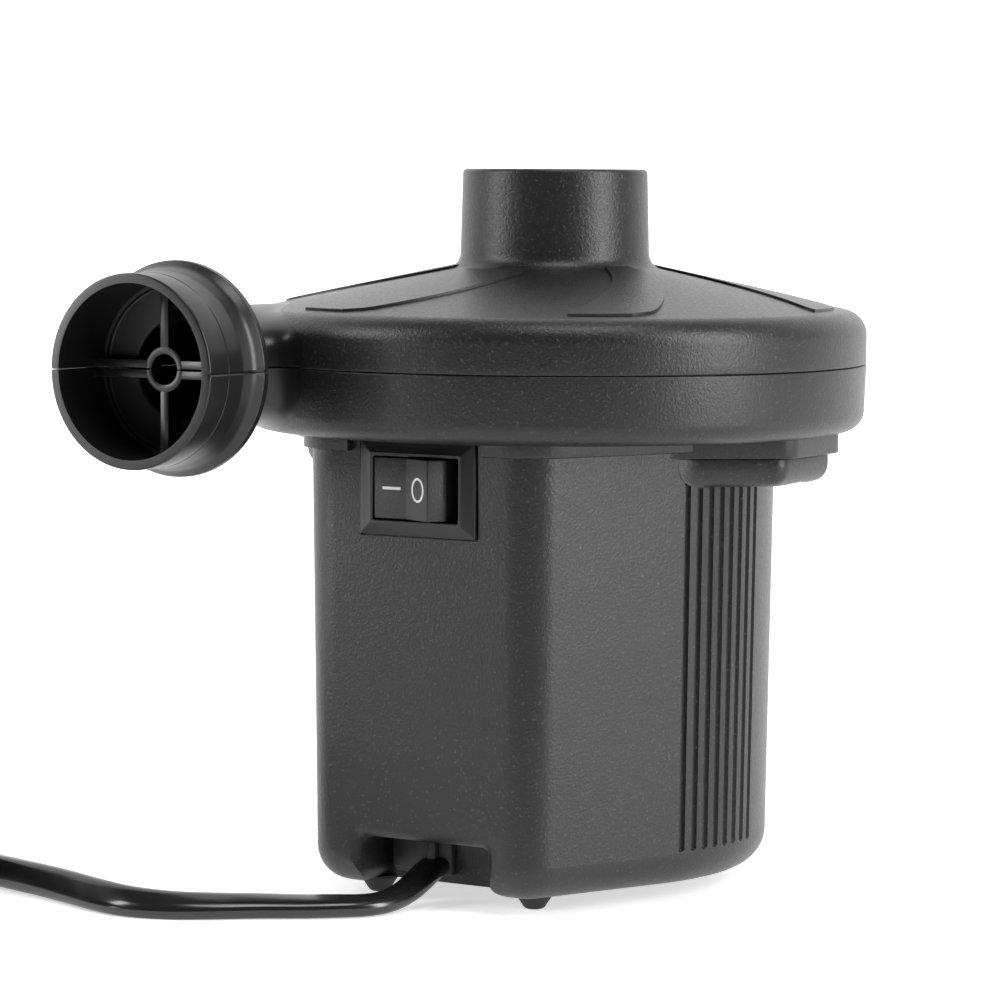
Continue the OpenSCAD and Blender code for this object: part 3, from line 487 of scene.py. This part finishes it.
# Six low vanes wind over the cone from the collar to the rim
def vane(shape, turn):
    rows = []
    first, last, count = 16.0, 46.2, 26
    for i in range(count + 1):
        r = first + (last - first) * i / count
        left, right_side = -17.2 + (45.7 - r) * 0.943, (45.7 - r) * 0.943
        inset = max(0.0, r - (last - 3.0))
        ease = math.degrees((3.0 - math.sqrt(max(0.0, 9.0 - inset * inset))) / r)
        row = []
        for j in range(13):
            a = math.radians(turn + left + ease * 0.3 + (right_side - ease - left - ease * 0.3) * j / 12)
            row.append((r * math.cos(a), r * math.sin(a), cone_z(r) + 0.42))
        low = lambda p, drop: (p[0], p[1], p[2] - drop)
        rows.append([low(row[0], 1.2), low(row[0], 0.12)] + row + [low(row[-1], 0.12), low(row[-1], 1.2)])
    end = [(x * 1.0022, y * 1.0022, z - 0.1) for x, y, z in rows[-1]]
    rows.append(end)
    rows.append([(x, y, z - 1.1) for x, y, z in end])
    shape.grid(rows)


for k in range(6):
    vane(top, -40.8 + 60 * k)


def profile_distance(r, z):
    """Distance from (r, z) to the fan housing's outside, and the nearest point on it."""
    a = np.array(outside[:-1], float)
    b = np.array(outside[1:], float)
    d = b - a
    p = np.array((r, z), float)
    t = np.clip(((p - a) * d).sum(1) / (d * d).sum(1), 0, 1)
    near = a + d * t[:, None]
    distances = np.hypot(near[:, 0] - r, near[:, 1] - z)
    k = int(distances.argmin())
    return float(distances[k]), near[k]


outlet_x, outlet_y = -33.5, -71.0
neck_r, fillet_r = 9.4, 5.0


def fillet_at(turn):
    """Where a ball of the fillet's radius rests between the neck and the fan housing on one side."""
    u = np.array([math.cos(turn), 0.0, math.sin(turn)])
    x, z = outlet_x + (neck_r + fillet_r) * u[0], parting + (neck_r + fillet_r) * u[2]
    low, high = -80.0, -20.0
    y = low
    while y < high:
        if profile_distance(math.hypot(x, y), z)[0] < fillet_r:
            break
        y += 0.5
    a, b = y - 0.5, y
    for _ in range(24):
        m = (a + b) / 2
        if profile_distance(math.hypot(x, m), z)[0] < fillet_r:
            b = m
        else:
            a = m
    centre = np.array([x, b, z])
    flat_r = math.hypot(x, b)
    near = profile_distance(flat_r, z)[1]
    foot = np.array([x / flat_r * near[0], b / flat_r * near[0], near[1]])
    w = (centre - foot) / np.linalg.norm(centre - foot)
    total = math.acos(max(-1, min(1, float(u @ w))))
    arc = []
    for k in range(11):
        t = k / 10
        n = (u * math.sin((1 - t) * total) + w * math.sin(t * total)) / math.sin(total)
        arc.append((centre - fillet_r * n, n))
    return b, arc


nozzle_out = rounded([(13.52, 0, 0), (15.0, 0, 0.35), (15.0, 4.9, 0), (14.9, 5.02, 0), (15.02, 5.16, 0),
                      (15.06, 6.6, 0),
                      (15.2, 8.4, 3), (15.75, 10.6, 3), (16.75, 11.95, 0.3), (16.8, 13.2, 0.35),
                      (9.4, 13.2, 1.2), (9.4, 15.5, 0)],
                     closed=False, steps=5)
nozzle_in = rounded([(7.4, 41.0, 0), (7.4, 12.4, 0.5), (12.9, 12.2, 0.6), (13.0, 11.6, 0), (13.5, 11.5, 0),
                     (13.5, 0.0, 0.3),
                     (13.52, 0, 0)], closed=False, steps=4)


def nozzle(shape, sign, mat_out, mat_in):
    """Half of the outlet: mouth, flare, flange, neck and the fillet into the fan housing, with its bore."""
    turns = [0.0, 1.0] + list(np.linspace(4, 176, 44)) + [179.0, 180.0]
    rows = []
    for i, degrees in enumerate(turns):
        a = math.radians(degrees)
        edge = 0.2 if i in (0, len(turns) - 1) else 0.0
        c, s = math.cos(a), math.sin(a)
        stop, arc = fillet_at(a * sign)

        def at(r, along, trim=0.0):
            return (outlet_x + (r - trim) * c, outlet_y + along, parting + sign * ((r - trim) * s + gap))
        row = [at(r, along, edge) for r, along in nozzle_out]
        for k in range(1, 6):
            row.append(at(neck_r, 15.5 + (stop - outlet_y - 15.5) * k / 6, edge))
        for p, n in arc:
            q = p - n * edge
            row.append((q[0], q[1], q[2] + sign * gap))
        outer_count = len(row)
        last = row[-1]
        row.append((last[0] * 0.985, last[1] * 0.985, parting + (last[2] - parting) * 0.94))
        row += [at(r, along) for r, along in nozzle_in]
        rows.append(row)
    n = len(rows[0])
    pts = [p for row in rows for p in row]
    out_faces, in_faces = [], []
    for i in range(len(rows) - 1):
        for j in range(n - 1):
            f = (i * n + j, i * n + j + 1, (i + 1) * n + j + 1, (i + 1) * n + j)
            (out_faces if j < outer_count else in_faces).append(f)
    ends = [tuple(range(n)), tuple((len(rows) - 1) * n + j for j in range(n))]
    base = len(shape.points)
    shape.add(pts, out_faces + ends, mat_out)
    shape.faces += [tuple(base + i for i in f) for f in in_faces]
    shape.mats += [mat_in] * len(in_faces)


def outlet_guard(shape, sign, mat):
    """The ring and spokes in the mouth: the bar along the parting line is split between the halves."""
    ring = rounded([(2.38, 0, 0.15), (3.55, 0, 0.15), (3.55, 2.6, 0.1), (2.38, 2.6, 0.1)], steps=2)
    start, end = (2.4, 177.6) if sign > 0 else (182.4, 357.6)
    shape.revolve([(r, h) for r, h in ring], mat, (outlet_x, outlet_y + 9, parting), axis="y", steps=40,
                  start=start, end=end)
    y0, y1 = outlet_y + 9, outlet_y + 11.6
    z = sorted((parting + sign * 3.3, parting + sign * 13.7))
    shape.block((outlet_x - 0.8, y0, z[0]), (outlet_x + 0.8, y1, z[1]), 0.18, mat)
    z = sorted((parting + sign * 0.15, parting + sign * 1.42))
    for x0, x1 in ((-13.7, -3.1), (3.1, 13.7)):
        shape.block((outlet_x + x0, y0, z[0]), (outlet_x + x1, y1, z[1]), 0.15, mat)


nozzle(top, 1, 1, 2)
outlet_guard(top, 1, 1)

# The guard in the inlet: a ring on a cross inside a wider ring
for bore, ring_r, steps in ((2.38, 3.6, 60), (8.0, 9.4, 96)):
    top.revolve(rounded([(bore, guard_low, 0.2), (ring_r, guard_low, 0.2), (ring_r, guard_high, 0.25),
                         (bore, guard_high, 0.25)], steps=2), steps=steps)
for a in range(4):
    top.block((3.3, -0.85, guard_low), (13.7, 0.85, guard_high), 0.2,
              turn=Matrix.Rotation(math.radians(90 * a), 4, "Z"))

top.build("top_cover_shell", [housing, satin, inside_black],
                  replaces=("top_cover",))

low = Shape()
low_profile = rounded([(6.6, disc_z, 0.2), (50.42, disc_z, 3.4), (50.8, parting - gap, 0.24),
                       (48.6, parting - gap, 0), (48.6, 75.7, 1.0),
                       (6.6, 75.7, 0.2)], steps=10)
disc = Shape()
disc.revolve(low_profile, steps=360)
lower_disc = disc.build("lower_volute_disc", [housing], replaces=("lower_volute",))
screw_wells = Shape()
for a in (45, 90, 135, 315):
    at = (45 * math.cos(math.radians(a)), 45 * math.sin(math.radians(a)), 0)
    screw_wells.revolve([(0.001, 71.5), (2.8, 71.5), (2.8, 75.6), (0.001, 75.6)], centre=at, steps=40)
cut(lower_disc, [tool(screw_wells, "screw_wells")])
low.revolve([(48.4, 83.3), (49.6, 83.3), (49.6, 85.7), (48.4, 85.7)], steps=180)
nozzle(low, -1, 1, 2)
outlet_guard(low, -1, 1)

# ---------------------------------------------------------------- the motor housing's plan
body_r, body_front, side_angle = 36.1, 41.5, 25.0
corner_r = 8.0
right_arc = np.arange(270, 335.1, 5)
left_arc = np.arange(205, 270.1, 5)


def plan(inset, angles, corner=None):
    """The motor housing's outline, moved inwards by inset, from its right corner round the back."""
    rc = max((corner_r if corner is None else corner) - inset, 0.6)
    r = body_r - inset
    cy = rc - (body_front - inset)
    cx = (r - rc + cy * math.sin(math.radians(side_angle))) / math.cos(math.radians(side_angle))
    pts = [(cx + rc * math.cos(math.radians(n)), cy + rc * math.sin(math.radians(n)))
           for n in right_arc]
    pts += [(r * math.cos(math.radians(n)), r * math.sin(math.radians(n))) for n in angles]
    pts += [(-cx + rc * math.cos(math.radians(n)), cy + rc * math.sin(math.radians(n)))
            for n in left_arc]
    return pts


# The skirt: a low band round the top of the motor housing that stops short of the switch
coarse = list(np.arange(-25, 205.1, 2.5))


def swept_band(shape, section, gap_x):
    rows = []
    outline = {}
    for inset, z in section:
        pts = plan(inset, coarse)
        front = pts[0][1]
        pts = [(gap_x, front)] + pts + [(-gap_x, front)]
        outline[(inset, z)] = [(x, y, z) for x, y in pts]
    cols = [outline[s] for s in section]
    rows = [[c[i] for c in cols] for i in range(len(cols[0]))]
    shape.grid(rows, loop_cols=True, cap_first=True, cap_last=True)


swept_band(low, [(-1.4, 73.9), (-1.4, 71.85), (-1.3, 71.6), (-1.05, 71.5), (-0.1, 71.5), (-0.1, 73.9)], 12.2)


def ear_outline(inset):
    """One screw ear in plan, on the +X side, with a wide fillet into the housing at its front."""
    r = max(4.0 - inset * 0.6, 1.6)
    x = 46.8 - inset - r
    fy, by = -3.9 + max(0.0, inset - 3), 9.1 - max(0.0, inset - 3)
    corner = [(x + r * math.cos(math.radians(n)), fy + r * math.sin(math.radians(n)))
              for n in np.arange(-54, 0.1, 9)]
    corner += [(x + r * math.cos(math.radians(n)), by + r * math.sin(math.radians(n)))
               for n in np.arange(0, 61, 10)]
    root = np.array([29.5, -19.0 + inset])
    first = np.array(corner[0])
    d = (first - root) / np.linalg.norm(first - root)
    n = np.array([d[1], -d[0]])
    rho = 9.0
    low_t, high_t = -10.0, 20.0
    for _ in range(40):
        m = (low_t + high_t) / 2
        c = root + n * rho + d * m
        if np.hypot(*c) < body_r + rho:
            low_t = m
        else:
            high_t = m
    c = root + n * rho + d * low_t
    on_body, on_line = -c / np.hypot(*c), -n
    turn = math.acos(max(-1, min(1, float(on_body @ on_line))))
    fillet = []
    for k in range(9):
        t = k / 8
        w = (on_body * math.sin((1 - t) * turn) + on_line * math.sin(t * turn)) / math.sin(turn)
        fillet.append(tuple(c + w * rho))
    inside = fillet[0]
    scale = (body_r - 1.6) / math.hypot(*inside)
    return [(inside[0] * scale, inside[1] * scale)] + fillet + corner + [(27.4, 21.8 - inset)]


def ear(shape, levels):
    for s in (1, -1):
        rows = [[(s * x, y, z) for x, y in ear_outline(inset)] for inset, z in levels]
        shape.grid(rows, loop_cols=True, cap_first=True, cap_last=True)


ear(low, [(0.32, 70.5), (0.1, 70.6), (0.0, 70.85), (0.0, 74.1)])
low.build("lower_volute_shell", [housing, satin, inside_black],
                   replaces=("lower_volute",))

# ---------------------------------------------------------------- the motor housing
plate = 2.5
bottom_round = 5.5
groove_end = 8.9


def draft_at(z):
    return (disc_z - z) / (disc_z - plate)


groove_angles = [-24 + 4 * k for k in range(8)]
side_angles = list(np.arange(-25, 5.41, 0.2)) + list(np.arange(6, 91, 3.0))
all_angles = side_angles + [180 - a for a in reversed(side_angles[:-1])]


def groove_depth(angle, z):
    """Depth of the grip grooves at a place on the housing: round in section, with round lower ends."""
    a = angle if angle < 90 else 180 - angle
    best = min(abs(a - g) for g in groove_angles)
    s = math.radians(best) * body_r
    d = math.hypot(s, max(0.0, groove_end - z))
    return 0.75 * max(0.0, 1 - (d / 0.62) ** 2) ** 0.7 if d < 0.62 else 0.0


heights = []
for k in range(9):
    a = math.radians(90 * k / 8)
    heights.append((plate + bottom_round * (1 - math.cos(a)), bottom_round * (1 - math.sin(a))))
heights += [(z, 0.0) for z in (8.02, 8.2, 8.3, 8.4, 8.5, 8.6, 8.7, 8.8, 8.9, 9.2, 12, 24, 36, 48, 60, 73.45)]
rows = []
for z, edge in heights:
    inset = draft_at(z) + edge
    base = plan(inset, all_angles)
    row = []
    for i, (x, y) in enumerate(base):
        k = i - len(right_arc)
        if edge < 0.2 and 0 <= k < len(all_angles):
            depth = groove_depth(all_angles[k], z)
            if depth:
                scale = 1 - depth / math.hypot(x, y)
                x, y = x * scale, y * scale
        row.append((x, y, z))
    rows.append(row)
body = Shape()
body.grid(rows, loop_cols=True)
n = len(rows[0])
body.add(rows[0], [tuple(reversed(range(n)))])
body.add(rows[-1], [tuple(range(n))])
shell = body.build("motor_housing_shell", [housing, inside_black],
                   replaces=("motor_housing",))


def flare(depth, radius=2.6):
    """How far a rounded edge draws back at a depth behind the face."""
    t = min(max(depth, 0.0), radius)
    return radius - math.sqrt(radius * radius - (radius - t) ** 2)


# The recess for the cord, with rounded edges at the front and at the bottom
recess = Shape()
rows = []
for y in [-60.0] + [-40.7 + 0.26 * k for k in range(11)] + [-30.0]:
    front = flare(y + 40.7)
    half = [(11.7 + front + flare(z - plate + 0.1), z)
            for z in [-4.0] + [plate - 0.1 + 0.26 * k for k in range(11)]]
    half = [(min(w, 17.5), z) for w, z in half] + [(11.7 + front, 8.9 + front),
                                                   (11.25 + front, 9.95 + front),
                                                   (10.2 + front, 10.4 + front)]
    rows.append([(w, y, z) for w, z in half] + [(-w, y, z) for w, z in reversed(half)])
recess.grid(rows, loop_cols=True, cap_first=True, cap_last=True)
window = Shape()
window.block((-9.5, -60, 59.5), (9.5, -20, 72.5))
pocket = Shape()
pocket.block((-10.75, -60, 58.35), (10.75, -40.7, 80))
slots = Shape()
for i in range(-2, 3):
    slots.block((i * 4.4 - 1, 14, 0), (i * 4.4 + 1, 23, 5.7))
wells = Shape()
for s in (-1, 1):
    wells.revolve([(0.001, 56.5), (2.8, 56.5), (2.8, 67.5), (0.001, 67.5)], centre=(s * 41, 2.6, 0), steps=48)
cut(shell, [tool(recess, "recess"), tool(window, "window"), tool(pocket, "pocket"), tool(slots, "slots")])

ears = Shape()
levels = []
for k in range(9):
    a = math.radians(90 * k / 8)
    levels.append((1.7 + 3.0 * (1 - math.sin(a)), 65.8 + 3.0 * (1 - math.cos(a))))
levels += [(1.7, 70.1), (1.78, 70.35), (1.95, 70.47)]
ear(ears, levels)
ear_piece = ears.build("ear_blocks", [housing], replaces=("motor_housing",))
cut(ear_piece, [tool(wells, "wells")])

feet = Shape()
for x, y in ((-14.4, -29.8), (14.4, -29.8), (-15, 20), (15, 20)):
    feet.revolve(rounded([(0.001, 0, 0), (1.5, 0, 0.9), (3.0, 2.3, 0.5), (3.0, 2.7, 0), (0.001, 2.7, 0)],
                         steps=5), centre=(x, y, 0), steps=40)
feet.build("rubber_feet", [foot_rubber], replaces=("feet",))

# ---------------------------------------------------------------- the cord's bushing
relief = Shape()
relief.block((-10.6, -31.5, 3.9), (0.2, -30.0, 9.9), 0.35)
relief.block((-10.4, -32.3, 4.6), (-3.7, -31.2, 9.5), 0.4)
relief.block((-3.9, -32.8, 4.3), (-2.1, -31.2, 9.8), 0.6)
relief.block((-10.0, -30.5, 5.1), (-1.0, -28.0, 9.5), 0.2)
relief.build("cord_bushing", [relief_black], replaces=("strain_relief",))

# ---------------------------------------------------------------- the switch
switch_z = 66.0


def frame_ring(w, h, y, radius):
    return [(u, y, switch_z + v) for u, v in rounded([(-w / 2, -h / 2, radius), (w / 2, -h / 2, radius),
                                                      (w / 2, h / 2, radius),
                                                    (-w / 2, h / 2, radius)], steps=4)]


bezel = Shape()
bezel.grid([frame_ring(21.0, 14.8, -40.72, 0.35), frame_ring(21.0, 14.8, -41.75, 0.35),
            frame_ring(20.85, 14.65, -41.86, 0.35),
            frame_ring(16.75, 11.2, -42.4, 0.3), frame_ring(16.5, 11.0, -42.5, 0.3),
            frame_ring(15.75, 10.25, -42.5, 0.35),
            frame_ring(15.5, 10.0, -42.38, 0.35), frame_ring(15.5, 10.0, -36.0, 0.35),
            frame_ring(15.5, 10.0, -27.6, 0.35),
            frame_ring(18.8, 12.8, -26.2, 0.35), frame_ring(18.8, 12.8, -40.72, 0.35)], loop_rows=True,
            loop_cols=True)
bezel.build("switch_bezel", [switch_black], replaces=("switch_frame",))

pivot = Vector((0, -34.6, switch_z))
place = Matrix.Translation(pivot) @ Matrix.Rotation(math.radians(-12), 4, "Z")
outline = rounded([(0, -8, 0.25), (5.7, -9.24, 0.25), (6.9, -6.2, 0.6), (6.8, -3.5, 0.3), (2.6, 0.8, 0.4),
                   (1.4, 2.2, 0.2), (1.4, 3.4, 0.2),
                   (-1.4, 3.4, 0.2), (-1.4, 2.2, 0.2), (-2.6, 0.8, 0.4), (-6.8, -3.5, 0.3),
                   (-6.9, -6.2, 0.6), (-5.7, -9.24, 0.25)], steps=4)
button = Shape()
centre = np.mean(outline, axis=0)
levels = [(-4.75, 0.22), (-4.68, 0.06), (-4.5, 0.0), (4.5, 0.0), (4.68, 0.06), (4.75, 0.22)]
rows = []
for z, inset in levels:
    row = []
    for x, y in outline:
        d = np.array((x, y)) - centre
        s = 1 - inset / np.linalg.norm(d)
        row.append(place @ Vector((centre[0] + d[0] * s, centre[1] + d[1] * s, z)))
    rows.append(row)
button.grid(rows, loop_cols=True, cap_first=True, cap_last=True)
button.revolve([(0.001, -5.9), (1.2, -5.9), (1.3, -5.8), (1.3, 5.8), (1.2, 5.9), (0.001, 5.9)],
               centre=tuple(pivot), steps=32, closed=False)


# The marks: a bar on the pressed side and a ring on the other, filled flush with a white moulding
def on_facet(side, u, v, rise):
    """A point on one of the rocker's two facets: u along it from its middle, v up, and a rise over it."""
    along = Vector((5.7, -1.24 * side, 0)).normalized()
    middle = Vector((2.85 * side, -8.62, 0)) + along * 0.3
    out = Vector((along.y, -along.x, 0))
    return place @ (middle + along * u + Vector((0, 0, v)) + out * rise)


bar = [(-1.65, -0.22), (1.65, -0.22), (1.65, 0.22), (-1.65, 0.22)]
button.grid([[on_facet(-1, u, v, 0.03) for u, v in bar], [on_facet(-1, u, v, -0.2) for u, v in bar]], 1,
            loop_cols=True, cap_first=True, cap_last=True)
rows = []
for k in range(48):
    a = 2 * math.pi * k / 48
    rows.append([on_facet(1, rx * math.cos(a), rz * math.sin(a), h) for rx, rz, h in
                 ((1.28, 1.56, -0.2), (1.28, 1.56, 0.03), (1.68, 1.92, 0.03), (1.68, 1.92, -0.2))])
button.grid(rows, 1, loop_rows=True, loop_cols=True)
button.build("rocker_button", [rocker_black, mark_white], body="rocker",
             replaces=("rocker",))

# ---------------------------------------------------------------- floor and light
white, tree, shader = nodes_of("floor_white")
noise = tree.nodes.new("ShaderNodeTexNoise")
noise.inputs["Scale"].default_value = 30
ramp = tree.nodes.new("ShaderNodeMapRange")
ramp.inputs["To Min"].default_value, ramp.inputs["To Max"].default_value = 0.86, 0.88
tree.links.new(noise.outputs["Fac"], ramp.inputs["Value"])
tree.links.new(ramp.outputs["Result"], shader.inputs["Base Color"])
shader.inputs["Roughness"].default_value = 0.9
shader.inputs["Specular IOR Level"].default_value = 0.1
shader.inputs["Emission Color"].default_value = (1, 1, 1, 1)
# The floor glows a little more towards the back, like a lit paper sweep
where = tree.nodes.new("ShaderNodeTexCoord")
depth = tree.nodes.new("ShaderNodeVectorMath")
depth.operation = "DOT_PRODUCT"
depth.inputs[1].default_value = (-math.sin(view_turn), math.cos(view_turn), 0)
tree.links.new(where.outputs["Object"], depth.inputs[0])
near, far, both = [tree.nodes.new(kind) for kind in ("ShaderNodeMapRange", "ShaderNodeMapRange",
                                                     "ShaderNodeMath")]
for node, first, last, top_value in ((near, -0.2, -0.02, 0.6), (far, 0.1, 0.9, 0.5)):
    node.inputs["From Min"].default_value, node.inputs["From Max"].default_value = first, last
    node.inputs["To Min"].default_value, node.inputs["To Max"].default_value = 0.0, top_value
    tree.links.new(depth.outputs["Value"], node.inputs["Value"])
tree.links.new(near.outputs["Result"], both.inputs[0])
tree.links.new(far.outputs["Result"], both.inputs[1])
tree.links.new(both.outputs["Value"], shader.inputs["Emission Strength"])
mesh = bpy.data.meshes.new("floor")
sweep = []
for y, z in [(-4, 0), (1.2, 0)] + [(1.2 + 0.8 * math.sin(math.radians(t)),
                                    0.8 - 0.8 * math.cos(math.radians(t)))
                                    for t in range(10, 91, 10)] + [(2.0, 5)]:
    sweep.append((y, z))
turn = Matrix.Rotation(view_turn, 4, "Z")
verts = [turn @ Vector((x, y, z)) for y, z in sweep for x in (-6, 6)]
mesh.from_pydata(verts, [], [(2 * i, 2 * i + 1, 2 * i + 3, 2 * i + 2) for i in range(len(sweep) - 1)])
mesh.polygons.foreach_set("use_smooth", [True] * len(mesh.polygons))
mesh.materials.append(white)
floor = bpy.data.objects.new("floor", mesh)
bpy.context.scene.collection.objects.link(floor)

world = bpy.data.worlds.new("studio")
bpy.context.scene.world = world
world.use_nodes = True
world.node_tree.nodes["Background"].inputs["Color"].default_value = (1, 1, 1, 1)
world.node_tree.nodes["Background"].inputs["Strength"].default_value = 0.06


def lamp(name, azimuth, elevation, distance, size, power, aim=(0, 0, 0.06)):
    """A soft box. Azimuth is measured from the camera's side, positive to its right."""
    data = bpy.data.lights.new(name, "AREA")
    data.shape = "RECTANGLE"
    data.size, data.size_y = size
    data.energy = power
    obj = bpy.data.objects.new(name, data)
    bpy.context.scene.collection.objects.link(obj)
    a, e = view_turn + math.radians(azimuth), math.radians(elevation)
    way = Vector((math.sin(a) * math.cos(e), -math.cos(a) * math.cos(e), math.sin(e)))
    obj.location = Vector(aim) + way * distance
    obj.rotation_mode = "QUATERNION"
    obj.rotation_quaternion = way.to_track_quat("Z", "Y")
    return obj


lamp("box_left", -76, 20, 0.9, (0.2, 0.8), 5)
lamp("box_right", 60, 20, 0.9, (0.22, 0.8), 8)
lamp("box_top", 20, 70, 1.2, (0.5, 0.5), 5)

bpy.context.scene.view_settings.view_transform = "Standard"
bpy.context.scene.view_settings.look = "None"
